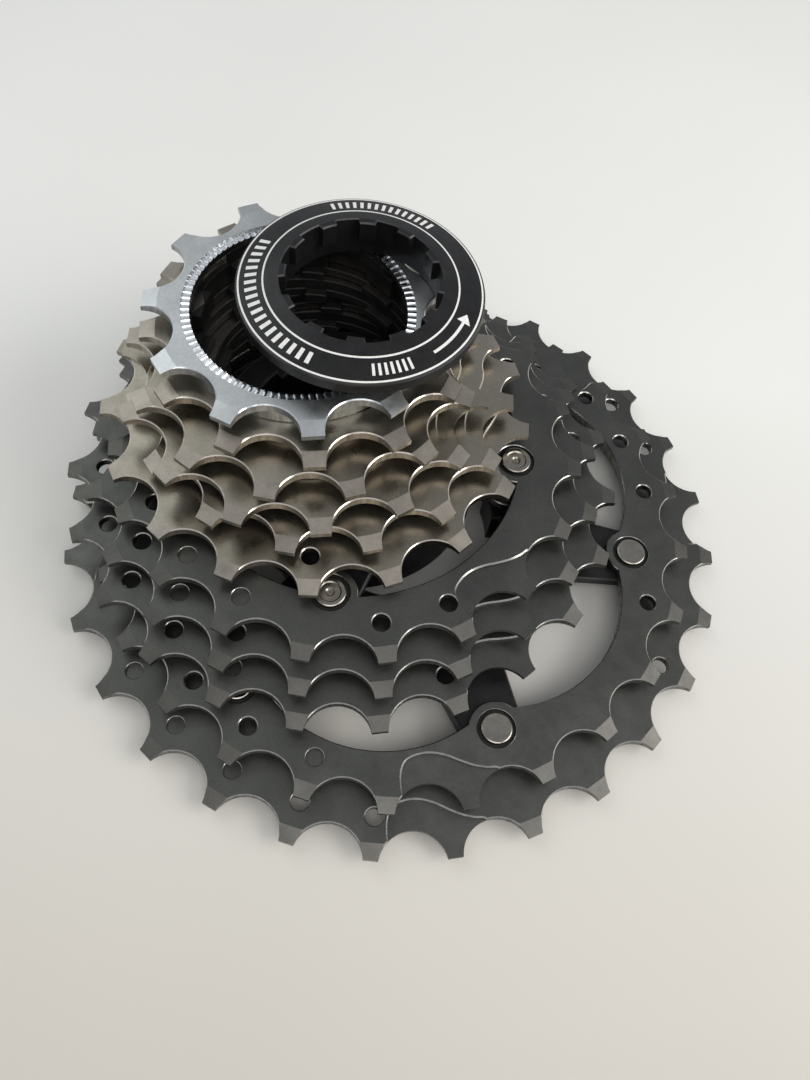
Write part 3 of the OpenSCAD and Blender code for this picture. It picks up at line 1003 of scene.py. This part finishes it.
def knurl(node):
    """Fine upright ribs around the flange's rim."""
    rim_top = heights(node)[1] - FACE_RISE
    low = rim_top - RIM_H + KNURL_GAPS[0]
    high = rim_top - KNURL_GAPS[1]
    foot = FLANGE_R - KNURL_DEPTH
    bm = bmesh.new()
    for i in range(KNURL_COUNT):
        turn = i * 360 / KNURL_COUNT
        before, after = turn - KNURL_HALF_ANGLE, turn + KNURL_HALF_ANGLE
        corners = [polar(foot, before), polar(FLANGE_R, turn), polar(foot, after)]
        bottom = [bm.verts.new((*p, low)) for p in corners]
        top = [bm.verts.new((*p, high)) for p in corners]
        bm.faces.new(bottom)
        bm.faces.new(top)
        for a in range(3):
            b = (a + 1) % 3
            bm.faces.new((bottom[a], bottom[b], top[b], top[a]))
    obj = to_object(bm, "lockring_knurl", centre_of(node))
    obj.data.materials.append(KNURL)
    clean(obj)
    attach(obj, NODE_BODY[node])
    return obj


def mark_section(inner, outer, top):
    """Section of a thin raised patch of paint on the conical face."""
    low, high = face_height(inner, top), face_height(outer, top)
    return [
        (inner, low - MARK_PROUD),
        (outer, high - MARK_PROUD),
        (outer, high + MARK_PROUD),
        (inner, low + MARK_PROUD),
    ]


def add_mark(bm, start, end, inner, outer, top, steps):
    """Patch of paint between two angles and two radii."""
    section = mark_section(inner, outer, top)
    rows = []
    for i in range(steps + 1):
        turn = start + (end - start) * i / steps
        rows.append([bm.verts.new((*polar(radius, turn), z)) for radius, z in section])
    for a, b in zip(rows, rows[1:]):
        for i in range(4):
            j = (i + 1) % 4
            bm.faces.new((a[i], b[i], b[j], a[j]))
    bm.faces.new(rows[0])
    bm.faces.new(rows[-1])


def lockring_marks(node):
    """Two white circles, and plain ticks and a turning arrow between them."""
    top = heights(node)[1]
    bm = bmesh.new()
    for inner, outer in MARK_CIRCLES:
        add_lathe(bm, mark_section(inner, outer, top), LOCKRING_STEPS)
    for start, end, step in TICK_ROWS:
        turn = start
        while turn < end:
            add_mark(bm, turn, turn + step * TICK_SHARE, *TICK_RADII, top, 2)
            turn += step
    start, neck = ARROW_ANGLES
    sides = (ARROW_MID_R - ARROW_HALF_W, ARROW_MID_R + ARROW_HALF_W)
    add_mark(bm, start, neck, *sides, top, ARROW_STEPS)
    for i in range(ARROW_HEAD_STEPS):
        half = ARROW_HEAD_HALF_W * (1 - i / ARROW_HEAD_STEPS)
        turn = neck + i * ARROW_HEAD_STEP
        after = neck + (i + 1) * ARROW_HEAD_STEP
        add_mark(bm, turn, after, ARROW_MID_R - half, ARROW_MID_R + half, top, 1)
    obj = to_object(bm, "lockring_marks", centre_of(node))
    obj.data.materials.append(WHITE)
    clean(obj)
    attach(obj, NODE_BODY[node])
    return obj


# --- The whole cassette -----------------------------------------------------------------------

def build():
    for node in RINGS:
        ring_sprocket(node)
    for node in SINGLES:
        if node == "sprocket_11t":
            bore = circle((0, 0), TAB_TIP_R, BORE_STEPS)
            spacer_r = root_r(SINGLES[node].teeth) - OWN_SPACER_INSET_11T
            single_sprocket(node, bore, spacer_r, BRIGHT, "bright_steel", SHADED_BORE_R_11T)
        else:
            bore = spline_outline()
            single_sprocket(node, bore, OWN_SPACER_R, NICKEL, "nickel_steel", SHADED_BORE_R)
    serrations("sprocket_11t")
    spider("large_spider", *LARGE_PATTERN, LARGE_ARM_HALVES, ("sprocket_28t", "sprocket_25t"))
    spider("mid_spider", *MID_PATTERN, MID_ARM_HALVES, ("sprocket_21t", "sprocket_19t"))
    rivets("large_rivets", rivet_spots(*LARGE_PATTERN), dimple=False)
    rivets("mid_rivets", rivet_spots(*MID_PATTERN), dimple=True)
    for node in ("spacer_15_17", "spacer_14_15", "spacer_13_14"):
        turned_ring(node, BORE_R, SPACER_R, ALLOY, groove=SPACER_GROOVE)
    collar_inner = RIVET_SHANK_R + RIVET_ROOM
    turned_ring("mid_collars", collar_inner, COLLAR_R, ALLOY,
                steps=RIVET_STEPS, about=rivet_spots(*MID_PATTERN))
    turned_ring("lockring_washer", WASHER_INNER_R, WASHER_OUTER_R, WASHER, WASHER_EDGE)
    lockring("lockring")
    knurl("lockring")
    lockring_marks("lockring")


# --- Stage, light and camera --------------------------------------------------------------------

TABLE_HALF = 1.6
WORLD_COLOUR = (0.93, 0.96, 1.0, 1)
WORLD_STRENGTH = 0.485
LIGHT_TARGET = (0, 0, 0.02)
CAMERA_PLACE = (-0.00877, -0.07882, 0.14096)
CAMERA_ANGLES = (28.598, -5.101, 1.690)
CAMERA_LENS = 29.68
CAMERA_SENSOR = 36
CAMERA_CLIP = 0.01


def stage():
    """Flat table at the height of the object's lowest face."""
    bm = bmesh.new()
    corners = ((-1, -1), (1, -1), (1, 1), (-1, 1))
    bm.faces.new([bm.verts.new((x * TABLE_HALF, y * TABLE_HALF, 0)) for x, y in corners])
    mesh = bpy.data.meshes.new("table")
    bm.to_mesh(mesh)
    bm.free()
    table = bpy.data.objects.new("table", mesh)
    bpy.context.scene.collection.objects.link(table)
    table.data.materials.append(table_top())


def area_light(name, position, size, power, colour):
    light = bpy.data.lights.new(name, "AREA")
    light.shape = "RECTANGLE"
    light.size, light.size_y = size
    light.energy = power
    light.color = colour
    obj = bpy.data.objects.new(name, light)
    obj.location = position
    direction = Vector(LIGHT_TARGET) - Vector(position)
    obj.rotation_euler = direction.to_track_quat("-Z", "Y").to_euler()
    bpy.context.scene.collection.objects.link(obj)


def lights():
    area_light("window_right", (0.55, -0.14, 0.40), (0.5, 0.5), 3.6, (1.0, 0.975, 0.93))
    area_light("room_front", (0.02, -0.38, 0.62), (0.5, 0.4), 1.7, (1.0, 0.98, 0.95))
    area_light("room_left", (-0.36, 0.30, 0.52), (0.45, 0.45), 0.7, (0.96, 1.0, 0.98))
    world = bpy.data.worlds.new("room")
    world.use_nodes = True
    background = world.node_tree.nodes["Background"]
    background.inputs["Color"].default_value = WORLD_COLOUR
    background.inputs["Strength"].default_value = WORLD_STRENGTH
    bpy.context.scene.world = world


def camera():
    data = bpy.data.cameras.new("camera")
    data.sensor_width = CAMERA_SENSOR
    data.lens = CAMERA_LENS
    data.clip_start = CAMERA_CLIP
    obj = bpy.data.objects.new("camera", data)
    obj.location = CAMERA_PLACE
    obj.rotation_euler = [math.radians(angle) for angle in CAMERA_ANGLES]
    bpy.context.scene.collection.objects.link(obj)
    bpy.context.scene.camera = obj
    bpy.context.scene.view_settings.view_transform = "Standard"


build()
stage()
lights()
camera()
